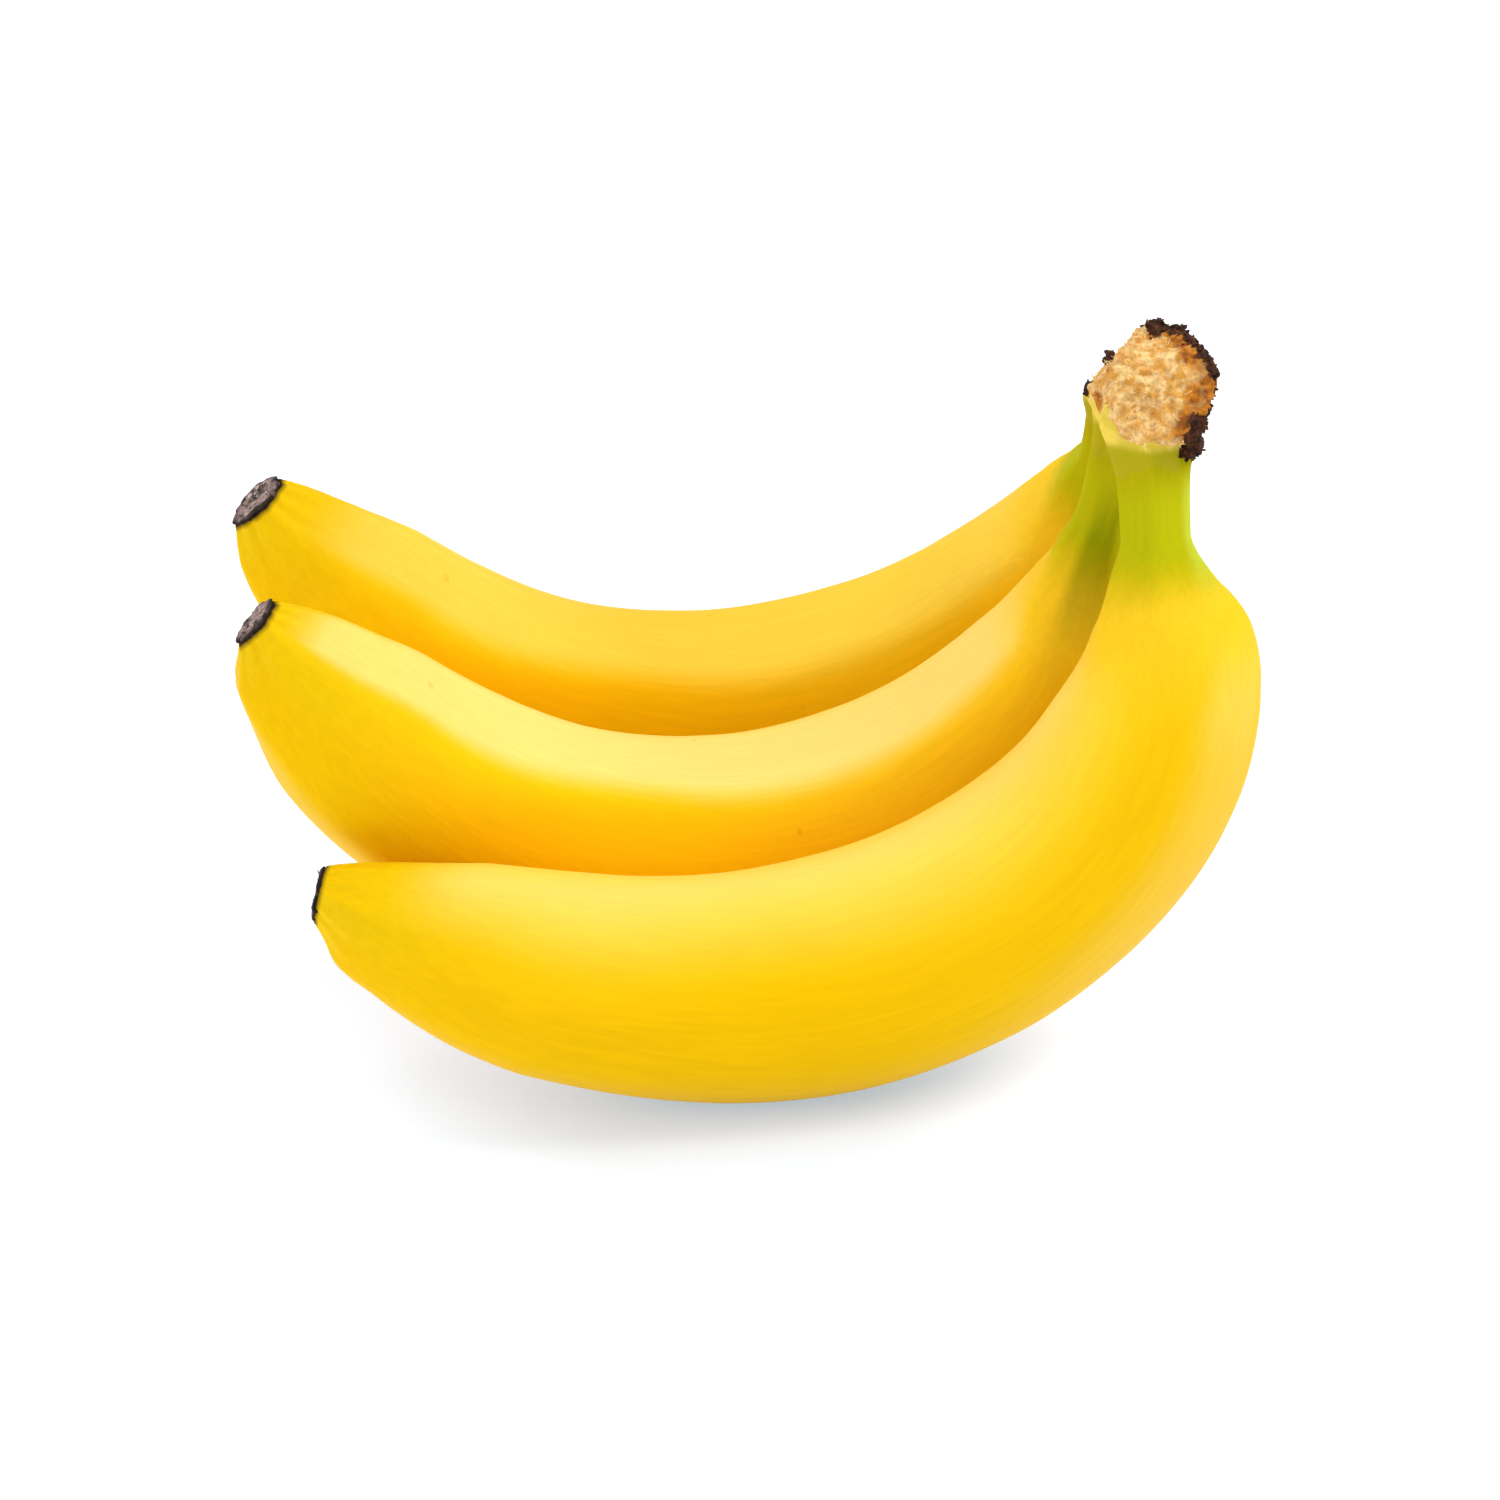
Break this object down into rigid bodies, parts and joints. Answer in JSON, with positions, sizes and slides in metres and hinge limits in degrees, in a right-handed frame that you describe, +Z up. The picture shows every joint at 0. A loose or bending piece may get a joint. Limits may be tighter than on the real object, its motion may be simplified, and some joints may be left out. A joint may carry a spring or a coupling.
{
  "type": "bunch of bananas",
  "caption": "Ripe bananas joined at a cut crown, lying on their outer curves, with dried dark flower ends.",
  "frame": {"origin": "on the surface that the bunch lies on, under the centre of its bounding box", "axes": "+X from the fruit tips towards the crown, along the length of the bunch; +Y across the row of fingers, from the front finger to the back one; +Z up"},
  "size_m": [0.1524, 0.1214, 0.1043],
  "materials": {
    "peel": "ripe yellow banana peel, satin and slightly waxy, green at the stalk and a little green at the tip",
    "cut_crown": "dry, fibrous cut face of the crown, tan with blackened ragged edges",
    "dried_end": "dry blackened flower end, rough and matte with pale grey specks"
  },
  "bodies": {
    "root": {"crown": "cut_crown", "banana_front": "peel", "banana_middle": "peel", "banana_back": "peel", "tip_front": "dried_end", "tip_middle": "dried_end", "tip_back": "dried_end"}
  },
  "joints": []
}
